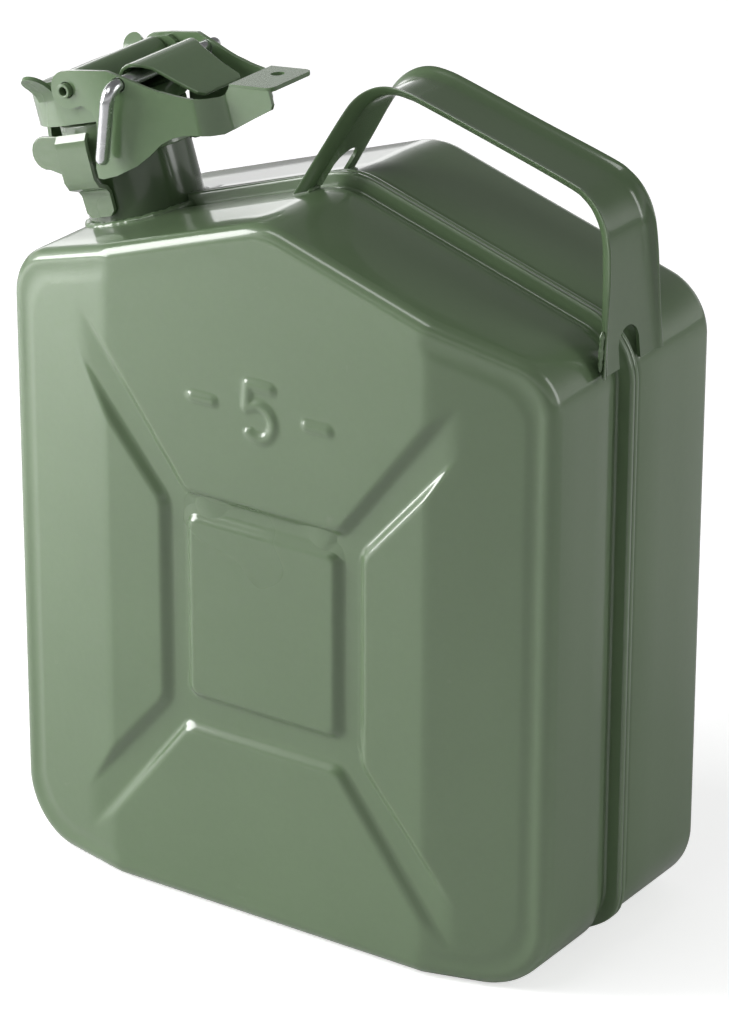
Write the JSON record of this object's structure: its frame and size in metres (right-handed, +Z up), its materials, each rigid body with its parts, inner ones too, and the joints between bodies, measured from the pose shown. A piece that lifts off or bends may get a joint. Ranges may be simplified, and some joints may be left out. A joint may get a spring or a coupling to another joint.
{
  "type": "metal fuel can",
  "caption": "Pressed steel fuel can with a strap handle over a sloped roof and a tilted spout neck closed by a hinged lid with a cam lever and a locking pin.",
  "frame": {"origin": "under the middle of the whole can, on the plane of its base, halfway through its thickness", "axes": "X along the width with the spout at -X and the handle's end at +X, Y through the thickness with the pressed front at -Y, Z up"},
  "size_m": [0.2398, 0.1086, 0.2968],
  "materials": {
    "shell_paint": "gloss",
    "handle_paint": "gloss",
    "neck_paint": "gloss",
    "closure_paint": "gloss",
    "lever_paint": "gloss",
    "zinc_plate": "bright",
    "gasket_rubber": "matte"
  },
  "bodies": {
    "can": {"front_shell": "shell_paint", "rear_shell": "shell_paint", "handle": "handle_paint", "spout_neck": "neck_paint", "neck_collar": "neck_paint", "hinge_ear_near": "neck_paint", "hinge_ear_far": "neck_paint", "hinge_pin": "neck_paint", "catch_near": "neck_paint", "catch_far": "neck_paint"},
    "lid_link": {"lid": "closure_paint", "lid_gasket": "gasket_rubber", "lid_yoke": "closure_paint", "lever_pivot_pin": "closure_paint"},
    "lever_link": {"lever": "lever_paint", "bridge_strap": "closure_paint"},
    "pin_link": {"locking_pin": "zinc_plate"}
  },
  "joints": [
    {"name": "lid_hinge", "type": "hinge", "parent": "can", "child": "lid_link", "pos_m": [-0.10991, 0, 0.24643], "axis": [0, -1, 0], "range_deg": [0, 110]},
    {"name": "lever_pivot", "type": "hinge", "parent": "lid_link", "child": "lever_link", "pos_m": [-0.09034, 0, 0.27647], "axis": [0, -1, 0], "range_deg": [0, 60]},
    {"name": "locking_pin_slide", "type": "slide", "parent": "lever_link", "child": "pin_link", "axis": [0, -1, 0], "range_m": [0, 0.065]}
  ]
}
